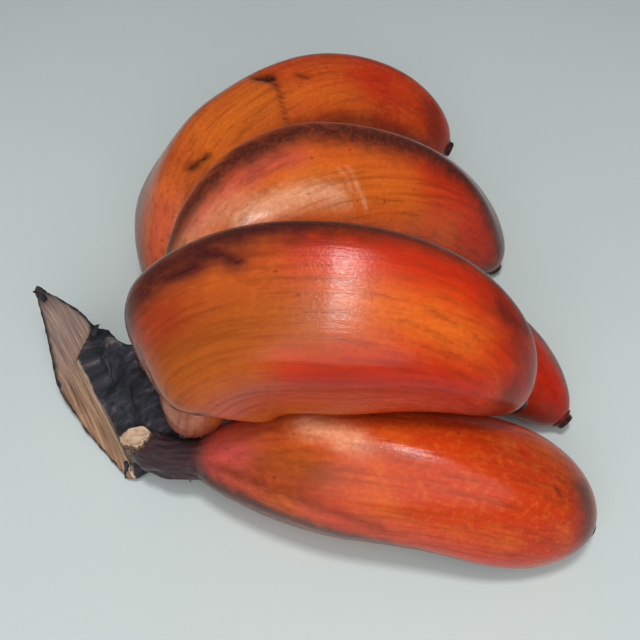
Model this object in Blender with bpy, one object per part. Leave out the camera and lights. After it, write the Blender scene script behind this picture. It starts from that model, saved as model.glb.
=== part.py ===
"""A hand of five red bananas joined at their cut crown, lying on the table on its fruit.

X runs from the crown towards the fruit tips, Y away from the front, Z up. Lengths are in
millimetres here and become metres when a mesh is made.
"""

import math

import bmesh
import bpy
from mathutils import Euler, Matrix, Vector

MM = 0.001
PLAN_SHIFT = (5.96, -23.64, 0.0)  # puts the middle of the whole hand over the origin

# Mesh density
RING_STEPS = 30  # rings along the body of a finger
PEDICEL_STEPS = 5  # rings along the stalk between the crown and the body
FACET_STEPS = 5  # points round a ring on each of its facets
RING_CROWDING = 0.9  # power that draws the rings together towards the stalk
CROWN_ROUNDING = 2  # subdivision levels of the crown
SHARP_ANGLE = 40.0

# Cross-section: five soft facets, with a ridge along the outer back of the finger
FACET_ANGLES = (42.0, 117.0, 180.0, 243.0, 318.0)
RIDGE_ANGLES = (0.0, 79.5, 148.5, 211.5, 280.5, 360.0)  # halfway between the facets
FACET_SHARPNESS = 7.0
FACET_INSET = 0.95  # radius at the middle of a facet, as a share of the finger's radius
ROUND_SHARE = 0.6  # share of the full radius over which a section turns from round to faceted

# Blossom end and stalk
STALK_RADIUS = 6.4
STALK_SWELL = 1.5  # power with which a stalk thickens towards a wider shoulder
STALK_SHARE = 0.06  # share of the body length that still has the stalk's radius
STALK_REACH = 0.5  # how far back along the body's line the stalk's bend lies
CAP_END = 0.985
NUB_LENGTH = 2.6
NUB_RADIUS = 3.0
NUB_PROFILE = ((0.35, 1.0), (0.9, 0.93), (1.0, 0.7))  # shares of its length and radius

# Contact with the table, and clearance between separate pieces
REST_DEPTH = 0.45  # how much is trimmed off a piece that rests on the table
HANG_HEIGHT = 0.35  # how far a piece that doesn't rest clears the table
PIECE_GAP = 0.3
SEAT_SHARE = 1.3  # the crown's seat in a finger is cut this much wider than the gap

# Each finger bends in one plane. heading and lean turn that plane, rise and fall are the
# slopes at the two ends of the body, ease and droop are the shares of the bend taken in the
# half by the crown and in the half by the tip. neck is the share of the length at which the
# full radius is reached and cap the share that narrows to the tip. shoulder is the radius
# where the body starts, if it is wider than the stalk. turn is the angle at which the outer
# ridge starts, in degrees, and twist how far the facets wind from there to the tip.
FINGERS = {
    "outer_finger_back": dict(
        root=(-50.0, -10.5, 20.5), start=(-46.8, -4.0, 24.8), heading=61.3, lean=75.4,
        rise=35.4, fall=80.6, ease=0.13, droop=0.36, length=169.9, radius=25.7,
        neck=0.45, swell=1.06, cap=0.36, tip=2.05, rests=True, color="C8461E", roughness=0.38,
        turn=0.0, twist=0.0,
    ),
    "outer_finger_middle": dict(
        root=(-50.0, -19.0, 28.0), start=(-46.1, -17.0, 35.6), heading=38.6, lean=32.0,
        rise=44.7, fall=69.5, ease=0.30, droop=0.17, length=155.1, radius=22.2,
        neck=0.45, swell=1.05, cap=0.59, tip=2.22, rests=False, color="C44A20", roughness=0.38,
        turn=-45.0, twist=130.0,
    ),
    "outer_finger_front": dict(
        root=(-44.0, -28.0, 22.0), start=(-35.9, -37.2, 31.4), heading=-6.3, lean=10.0,
        rise=81.3, fall=50.7, ease=0.57, droop=0.37, length=117.7, radius=25.4,
        neck=0.22, swell=1.05, cap=0.50, tip=1.50, rests=False, color="BE4A22", roughness=0.36,
        shoulder=9.0, turn=40.0, twist=0.0,
    ),
    "inner_finger_back": dict(
        root=(-52.0, -25.0, 8.0), start=(-41.1, -22.6, 9.5), heading=0.8, lean=53.7,
        rise=41.7, fall=46.6, ease=0.50, droop=0.50, length=131.7, radius=18.8,
        neck=0.35, swell=1.02, cap=0.54, tip=2.28, rests=False, color="C03C18", roughness=0.38,
        turn=0.0, twist=0.0,
    ),
    "inner_finger_front": dict(
        root=(-54.0, -37.0, 12.0), start=(-41.4, -46.9, 16.6), heading=-8.6, lean=-3.3,
        rise=13.8, fall=32.0, ease=0.02, droop=0.42, length=123.1, radius=20.3,
        neck=0.45, swell=0.83, cap=0.30, tip=2.18, rests=True, color="CC4A20", roughness=0.36,
        turn=-25.0, twist=80.0,
    ),
}

# Crown: lofted from the low near end to the pointed far end of its cut face. Each row is
# the distance along, the cut face's low and high edges, then height and depth of the
# shoulder, of the upper back edge and of the lower back edge.
CROWN_NEAR_END = (-59.4, -43.6, 5.0)
CROWN_FAR_END = (-91.1, 6.3, 30.0)
CROWN_FACE_TILT = 25.0
CROWN_ROWS = (
    (-4.0, -1.4, 1.6, 6.0, 3.0, 6.0, 8.0, 0.0, 7.0),
    (0.0, -2.2, 3.4, 16.0, 4.0, 18.0, 13.0, -1.4, 12.0),
    (7.0, -6.0, 3.8, 26.0, 5.0, 28.0, 19.0, -2.6, 17.0),
    (15.0, -9.6, 4.0, 29.0, 7.0, 31.0, 22.0, -3.0, 21.0),
    (24.0, -12.4, 4.0, 27.0, 9.0, 28.0, 24.0, -2.0, 24.0),
    (31.0, -14.2, 5.0, 17.0, 9.0, 20.0, 24.0, -1.0, 21.0),
    (37.0, -15.0, 15.0, 15.0, 6.0, 13.0, 11.0, -7.0, 10.0),
    (43.0, -12.0, 21.5, 18.0, 3.0, 14.0, 7.0, -7.0, 7.0),
    (50.0, -7.8, 17.0, 15.5, 2.5, 12.0, 5.0, -4.0, 5.0),
    (58.0, -3.2, 10.4, 9.6, 2.0, 7.0, 3.8, -1.2, 3.8),
    (64.0, -1.0, 4.8, 4.4, 1.4, 3.6, 2.6, 0.2, 2.6),
    (68.0, 0.6, 2.6, 2.4, 0.7, 2.2, 1.4, 1.0, 1.4),
)
CROWN_COLOR = "6B5344"
CROWN_ROUGHNESS = 0.85
RIM_CREASE = 0.8
BACK_FULLNESS = 0.5  # how far the back of a row swells past the line between its edges
UNDERSIDE_FULLNESS = 0.6


def clear_scene():
    for obj in list(bpy.data.objects):
        bpy.data.objects.remove(obj, do_unlink=True)


def linear(value):
    return value / 12.92 if value <= 0.04045 else ((value + 0.055) / 1.055) ** 2.4


def skin_material(name, color, roughness):
    """A plain material of one sRGB hex colour."""
    material = bpy.data.materials.new(name)
    material.use_nodes = True
    shader = material.node_tree.nodes["Principled BSDF"]
    rgb = [linear(int(color[i : i + 2], 16) / 255.0) for i in (0, 2, 4)]
    shader.inputs["Base Color"].default_value = (*rgb, 1.0)
    shader.inputs["Roughness"].default_value = roughness
    shader.inputs["Metallic"].default_value = 0.0
    return material


def clamp01(value):
    return min(max(value, 0.0), 1.0)


def smooth_step(value):
    value = clamp01(value)
    return value * value * (3.0 - 2.0 * value)


def bend_share(share, finger):
    """Share of the whole bend that is taken up to this share of the length."""
    even = 1.0 - finger["ease"] - finger["droop"]
    early = finger["ease"] * smooth_step(share / 0.5)
    late = finger["droop"] * smooth_step((share - 0.5) / 0.5)
    return even * share + early + late


def body_radius(share, finger):
    """Radius at this share of the body's length, from the stalk to the blossom end."""
    swell = clamp01((share - STALK_SHARE) / (finger["neck"] - STALK_SHARE))
    grown = math.sin(math.pi / 2.0 * swell) ** finger["swell"]
    shoulder = finger.get("shoulder", STALK_RADIUS)
    radius = shoulder + (finger["radius"] - shoulder) * grown
    past = clamp01((share - (1.0 - finger["cap"])) / finger["cap"]) * CAP_END
    return radius * math.sqrt(1.0 - past ** finger["tip"])


def finger_placement(finger):
    """The frame in which a finger bends in its local XZ plane, bulging towards +Z."""
    turn = Euler((math.radians(-finger["lean"]), 0.0, math.radians(finger["heading"])))
    return Matrix.Translation(Vector(finger["start"])) @ turn.to_matrix().to_4x4()


def body_shares():
    """Shares of the body's length, closer together round the blossom end."""
    steps = range(RING_STEPS + 1)
    return [math.sin(math.pi / 2.0 * i / RING_STEPS) ** RING_CROWDING for i in steps]


def finger_rings(finger, root):
    """(centre, tangent, radius, share) of each ring, from inside the crown to the nub."""
    shares = body_shares()
    centre = Vector((0.0, 0.0, 0.0))
    rings = []
    last = 0.0
    for share in shares:
        middle = (share + last) / 2.0
        slopes = []
        for at in (middle, share):
            bend = bend_share(at, finger) * (finger["rise"] + finger["fall"])
            slopes.append(math.radians(finger["rise"] - bend))
        step = (share - last) * finger["length"]
        centre = centre + step * Vector((math.cos(slopes[0]), 0.0, math.sin(slopes[0])))
        tangent = Vector((math.cos(slopes[1]), 0.0, math.sin(slopes[1])))
        rings.append((centre, tangent, body_radius(share, finger), share))
        last = share
    first, forward, first_radius, _ = rings[0]
    reach = (first - root).length
    bend_point = first - forward * (STALK_REACH * reach)
    stalk = []
    for i in range(PEDICEL_STEPS):
        t = i / PEDICEL_STEPS
        point = (1 - t) ** 2 * root + 2 * t * (1 - t) * bend_point + t * t * first
        slope = 2 * (1 - t) * (bend_point - root) + 2 * t * (first - bend_point)
        thick = STALK_RADIUS + (first_radius - STALK_RADIUS) * t**STALK_SWELL
        stalk.append((point, slope.normalized(), thick, 0.0))
    tip, along, _, _ = rings[-1]
    nub = []
    for out, thick in NUB_PROFILE:
        nub.append((tip + along * (out * NUB_LENGTH), along, thick * NUB_RADIUS, 1.0))
    return stalk + rings + nub


def ring_angles():
    """Angles of the points round a ring, with a point on each ridge."""
    angles = []
    for low, high in zip(RIDGE_ANGLES, RIDGE_ANGLES[1:]):
        for i in range(FACET_STEPS):
            angles.append(math.radians(low + (high - low) * i / FACET_STEPS))
    return angles


def facet_radius(angle):
    """Distance to the five-sided outline at this angle, for a section of radius 1."""
    total = 0.0
    for facet in FACET_ANGLES:
        total += max(math.cos(angle - math.radians(facet)), 0.0) ** FACET_SHARPNESS
    return FACET_INSET * total ** (-1.0 / FACET_SHARPNESS)


def roundness(radius, finger):
    """0 at stalk size, where a section is round, to 1 where the facets are full."""
    return clamp01((radius - STALK_RADIUS) / (ROUND_SHARE * finger["radius"]))


def sweep(rings, finger):
    """A closed mesh through the rings."""
    bm = bmesh.new()
    side = Vector((0.0, -1.0, 0.0))
    angles = ring_angles()
    loops = []
    for centre, tangent, radius, share in rings:
        side = (side - tangent * side.dot(tangent)).normalized()
        outward = side.cross(tangent).normalized()
        faceted = roundness(radius, finger)
        turn = math.radians(finger["turn"] + finger["twist"] * share)
        loop = []
        for angle in angles:
            reach = radius * (1.0 + faceted * (facet_radius(angle) - 1.0))
            offset = outward * math.cos(angle + turn) + side * math.sin(angle + turn)
            loop.append(bm.verts.new((centre + offset * reach) * MM))
        loops.append(loop)
    for low, high in zip(loops, loops[1:]):
        for j in range(len(angles)):
            k = (j + 1) % len(angles)
            bm.faces.new((low[j], low[k], high[k], high[j]))
    bm.faces.new(loops[0][::-1])
    bm.faces.new(loops[-1])
    bmesh.ops.recalc_face_normals(bm, faces=bm.faces)
    return bm


def trim_at_table(bm, matrix):
    """Cuts off what is below the table and closes the cut with a flat face."""
    back = matrix.inverted()
    geometry = bm.verts[:] + bm.edges[:] + bm.faces[:]
    cut = bmesh.ops.bisect_plane(
        bm,
        geom=geometry,
        dist=1e-7,
        plane_co=back @ Vector((0.0, 0.0, 0.0)),
        plane_no=(back.to_3x3() @ Vector((0.0, 0.0, 1.0))).normalized(),
        clear_inner=True,
    )
    edges = [item for item in cut["geom_cut"] if isinstance(item, bmesh.types.BMEdge)]
    if edges:
        bmesh.ops.edgeloop_fill(bm, edges=edges)
        bmesh.ops.recalc_face_normals(bm, faces=bm.faces)


def scaled(matrix):
    """The same placement with its offset in metres and the hand over the origin."""
    out = matrix.copy()
    out.translation = (matrix.translation + Vector(PLAN_SHIFT)) * MM
    return out


def add_object(name, bm, matrix, material):
    mesh = bpy.data.meshes.new(name)
    bm.to_mesh(mesh)
    bm.free()
    mesh.shade_smooth()
    mesh.set_sharp_from_angle(angle=math.radians(SHARP_ANGLE))
    mesh.materials.append(material)
    obj = bpy.data.objects.new(name, mesh)
    bpy.context.scene.collection.objects.link(obj)
    obj.matrix_world = matrix
    return obj


def make_finger(name, finger, crown_cutter):
    placement = finger_placement(finger)
    root = placement.inverted() @ Vector(finger["root"])
    bm = sweep(finger_rings(finger, root), finger)
    matrix = scaled(placement)
    lowest = min((matrix @ vert.co).z for vert in bm.verts)
    wanted = -REST_DEPTH if finger["rests"] else HANG_HEIGHT
    if finger["rests"] or lowest < wanted * MM:
        matrix.translation.z += wanted * MM - lowest
    trim_at_table(bm, matrix)
    material = skin_material(name + "_peel", finger["color"], finger["roughness"])
    obj = add_object(name, bm, matrix, material)
    cut = obj.modifiers.new("crown_seat", "BOOLEAN")
    cut.operation = "DIFFERENCE"
    cut.solver = "EXACT"
    cut.object = crown_cutter
    return obj


def crown_placement():
    near = Vector(CROWN_NEAR_END)
    along = (Vector(CROWN_FAR_END) - near).normalized()
    level = Vector((0.0, 0.0, 1.0)).cross(along).normalized()
    if level.x > 0.0:
        level = -level
    steep = along.cross(level)
    if steep.z < 0.0:
        steep = -steep
    tilt = math.radians(CROWN_FACE_TILT)
    facing = math.cos(tilt) * level + math.sin(tilt) * steep
    down = facing.cross(along)
    rows = Matrix((along, down, facing)).transposed().to_4x4()
    return Matrix.Translation(near) @ rows


def crown_mesh():
    """The loft in crown space: X along the cut face, Y down across it, Z out of the face."""
    bm = bmesh.new()
    loops = []
    for along, low, high, sw, sd, tw, td, lw, ld in CROWN_ROWS:  # s shoulder, t top, l low back edge
        middle = (low + high) / 2.0
        points = (
            (low, 0.0),
            (middle, 0.0),
            (high, 0.0),
            (sw, -sd),
            (tw, -td),
            ((tw + lw) / 2.0, -(td + ld) / 2.0 - BACK_FULLNESS),
            (lw, -ld),
            ((lw + low) / 2.0 - UNDERSIDE_FULLNESS, -ld / 2.0),
        )
        loops.append([bm.verts.new(Vector((along, -w, d)) * MM) for w, d in points])
    count = len(loops[0])
    for a, b in zip(loops, loops[1:]):
        for j in range(count):
            k = (j + 1) % count
            bm.faces.new((a[j], a[k], b[k], b[j]))
    bm.faces.new(loops[0][::-1])
    bm.faces.new(loops[-1])
    bmesh.ops.recalc_face_normals(bm, faces=bm.faces)
    bm.verts.index_update()
    crease = bm.edges.layers.float.new("crease_edge")
    for a, b in zip(loops, loops[1:]):
        for j in (0, 2):
            edge = bm.edges.get((a[j], b[j]))
            edge[crease] = RIM_CREASE
    return bm


def rounded_crown():
    """The loft rounded once, with its cut rim kept crisp, in the world frame."""
    holder = bpy.data.objects.new("crown_cage", bpy.data.meshes.new("crown_cage"))
    bpy.context.scene.collection.objects.link(holder)
    source = crown_mesh()
    source.to_mesh(holder.data)
    source.free()
    rounding = holder.modifiers.new("rounding", "SUBSURF")
    rounding.levels = CROWN_ROUNDING
    rounding.render_levels = CROWN_ROUNDING
    graph = bpy.context.evaluated_depsgraph_get()
    bm = bmesh.new()
    bm.from_mesh(holder.evaluated_get(graph).to_mesh())
    bpy.data.objects.remove(holder, do_unlink=True)
    return bm


def make_crown():
    placement = crown_placement()
    matrix = scaled(placement)
    bm = rounded_crown()
    lowest = min((matrix @ vert.co).z for vert in bm.verts)
    matrix.translation.z -= lowest + REST_DEPTH * MM
    bmesh.ops.recalc_face_normals(bm, faces=bm.faces)
    bm.normal_update()
    swollen = bm.copy()
    swollen.normal_update()
    shifts = [vert.normal * (SEAT_SHARE * PIECE_GAP * MM) for vert in swollen.verts]
    for vert, shift in zip(swollen.verts, shifts):
        vert.co += shift
    plain = skin_material("crown_skin", CROWN_COLOR, CROWN_ROUGHNESS)
    cutter = add_object("crown_clearance", swollen, matrix, plain)
    cutter.hide_render = True
    cutter.display_type = "WIRE"
    trim_at_table(bm, matrix)
    crown = add_object("crown", bm, matrix, plain)
    return crown, cutter


def main():
    clear_scene()
    _, cutter = make_crown()
    for name, finger in FINGERS.items():
        make_finger(name, finger, cutter)


main()
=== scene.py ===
"""A hand of five red bananas joined at their cut crown, dressed for a studio picture.

X runs from the crown towards the fruit tips, Y away from the front, Z up. Lengths are in
millimetres here and become metres when a mesh is made.
"""

import math

import bmesh
import bpy
from bpy.props import FloatProperty, FloatVectorProperty, IntProperty, PointerProperty
from bpy.types import Operator, Panel, PropertyGroup
from mathutils import Euler, Matrix, Vector, noise


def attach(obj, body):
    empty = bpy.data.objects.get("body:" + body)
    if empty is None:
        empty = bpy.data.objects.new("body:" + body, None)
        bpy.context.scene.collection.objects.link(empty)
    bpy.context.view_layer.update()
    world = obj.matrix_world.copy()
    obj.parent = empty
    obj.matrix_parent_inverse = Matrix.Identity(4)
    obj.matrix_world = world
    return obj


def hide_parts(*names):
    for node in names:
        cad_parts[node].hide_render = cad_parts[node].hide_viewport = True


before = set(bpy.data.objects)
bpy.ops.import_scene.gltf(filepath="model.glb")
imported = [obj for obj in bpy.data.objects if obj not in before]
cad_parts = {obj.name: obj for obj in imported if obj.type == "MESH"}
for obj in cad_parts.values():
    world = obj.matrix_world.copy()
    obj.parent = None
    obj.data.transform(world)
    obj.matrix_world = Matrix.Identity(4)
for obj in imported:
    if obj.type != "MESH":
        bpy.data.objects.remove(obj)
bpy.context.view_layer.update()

bl_info = {
    "name": "Hand of red bananas",
    "version": (1, 0, 0),
    "blender": (4, 5, 0),
    "location": "3D View > Sidebar > Bananas",
    "description": "Models and finishes a hand of red bananas on its cut crown",
    "category": "Object",
}

MM = 0.001
BODY = "root"
PLAN_SHIFT = Vector((5.96, -23.64, 0.0))  # the middle of the hand stands over the origin

# Where the body of a finger takes its shape
STALK_RADIUS = 6.4
STALK_SWELL = 1.5
STALK_TURN = 0.5  # share of the stalk's reach over which it swings into the body's direction
STALK_SHARE = 0.06
RING_SPREAD = 0.9  # rings crowd towards the blossom end, and this opens out the first of them
CAP_END = 0.985
NUB_LENGTH = 2.6
NUB_RADIUS = 3.0
FACET_ANGLES = (42.0, 117.0, 180.0, 243.0, 318.0)
FACET_SHARPNESS = 7.0
FACET_INSET = 0.95
ROUND_SHARE = 0.6  # share of the full radius over which a section turns from round to faceted
REST_DEPTH = 0.45
HANG_HEIGHT = 0.35
DRY_FADE = 6.0  # length over which dried stalk turns into fresh peel

# Relief of the peel, in millimetres where nothing else is said
DENTS = ((21.0, 0.45), (8.0, 0.12))  # size and share of the broad and of the small dents
DENT_DEPTH = 0.5
DENT_PUCKER = 0.15  # how much both the highs and the lows of the dents draw in the skin
SKIN_INSET = 0.15
SINK_LIMIT = 0.3  # the most that a mark sinks, as a share of the radius
FULL_RELIEF_RADIUS = 12.0  # thinner parts have less relief
RAGGED_FINE = 2.2  # size of the small waves along the edge of a mark
RAGGED_COARSE = 5.0
RAGGED_COARSE_SHARE = 0.6
RAGGED_REACH = 0.5  # how far the edge of a mark wanders, as a share of its half width
RAGGED_WIDTH = 3.0  # marks wider than this have edges no more ragged
THIN_MARK_RADIUS = 4.0  # marks keep this spread round a finger's thin ends
SHORTEST_MARK = 1e-9
STALK_WRINKLE = 1.3  # depth of the wrinkles on a dried stalk
FINE_WRINKLE = (8.0, 1.6, 1.4)  # length, width and strength
COARSE_WRINKLE = (5.0, 4.0, 1.2)

# The dried blossom end: distance out and radius of each ring, as shares of its length and
# radius. It stands on a soft collar and its own end is sunk.
NUB_PROFILE = (
    (0.12, 1.28), (0.25, 1.08), (0.35, 1.0), (0.62, 0.96), (0.9, 0.93), (1.0, 0.7),
    (0.97, 0.5), (0.80, 0.32), (0.72, 0.12),
)

# Each finger bends in one plane. heading and lean turn that plane, rise and fall are the
# slopes at the ends of the body, ease and droop the shares of the bend taken early and late,
# neck the share of the length where the radius is full, cap the share that narrows to the
# tip. turn is where the outer ridge starts, in degrees, and twist how far it winds. facets is
# how flat its sides are, and dry how far along the body the stalk has dried, in millimetres.
FINGERS = {
    "outer_finger_back": dict(
        root=(-50.0, -10.5, 20.5), start=(-46.8, -4.0, 24.8), heading=61.3, lean=75.4,
        rise=35.4, fall=80.6, ease=0.13, droop=0.36, length=169.9, radius=25.7,
        neck=0.45, swell=1.06, cap=0.36, tip=2.05, rests=True,
        turn=0.0, twist=0.0, dry=5.0, facets=1.0, slot="peel_orange_red",
    ),
    "outer_finger_middle": dict(
        root=(-50.0, -19.0, 28.0), start=(-46.1, -17.0, 35.6), heading=38.6, lean=32.0,
        rise=44.7, fall=69.5, ease=0.30, droop=0.17, length=155.1, radius=22.2,
        neck=0.45, swell=1.05, cap=0.59, tip=2.22, rests=False,
        turn=-45.0, twist=130.0, dry=5.0, facets=1.0, slot="peel_orange_red",
    ),
    "outer_finger_front": dict(
        root=(-44.0, -28.0, 22.0), start=(-35.9, -37.2, 31.4), heading=-6.3, lean=10.0,
        rise=81.3, fall=50.7, ease=0.57, droop=0.37, length=117.7, radius=25.4,
        neck=0.22, swell=1.05, cap=0.50, tip=1.50, rests=False,
        shoulder=10.5, turn=42.0, twist=0.0, dry=-9.0, facets=1.0, slot="peel_brown_red",
    ),
    "inner_finger_back": dict(
        root=(-52.0, -25.0, 8.0), start=(-41.1, -22.6, 9.5), heading=0.8, lean=53.7,
        rise=41.7, fall=46.6, ease=0.50, droop=0.50, length=131.7, radius=18.8,
        neck=0.35, swell=1.02, cap=0.54, tip=2.28, rests=False,
        turn=0.0, twist=0.0, dry=5.0, facets=1.0, slot="peel_deep_red",
    ),
    "inner_finger_front": dict(
        root=(-54.0, -37.0, 12.0), start=(-41.4, -46.9, 16.6), heading=-8.6, lean=-3.3,
        rise=13.8, fall=32.0, ease=0.02, droop=0.42, length=123.1, radius=20.3,
        neck=0.45, swell=0.83, cap=0.30, tip=2.18, rests=True,
        turn=-45.0, twist=80.0, dry=11.0, facets=0.35, slot="peel_orange_red",
    ),
}

# Peel colours along each finger, from the stalk to the blossom end
PEEL_RAMPS = {
    "outer_finger_back": (
        (0.0, "7A3626"), (0.14, "B04A20"), (0.5, "C0501C"), (0.6, "BC4016"), (1.0, "A03014"),
    ),
    "outer_finger_middle": (
        (0.0, "8A3A22"), (0.14, "C04C1E"), (0.5, "CC541C"), (0.75, "D04214"), (1.0, "AC3014"),
    ),
    "outer_finger_front": (
        (0.0, "8A4030"), (0.12, "A44C24"), (0.4, "B04A1A"), (0.7, "BE3C12"), (1.0, "A82E14"),
    ),
    "inner_finger_back": (
        (0.0, "702820"), (0.2, "9A2E12"), (0.6, "AC2C10"), (0.85, "B82E10"), (1.0, "962410"),
    ),
    "inner_finger_front": (
        (0.0, "4E3A3E"), (0.1, "BC4438"), (0.3, "B4481E"), (0.6, "C03A10"), (1.0, "AC2C12"),
    ),
}

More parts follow.
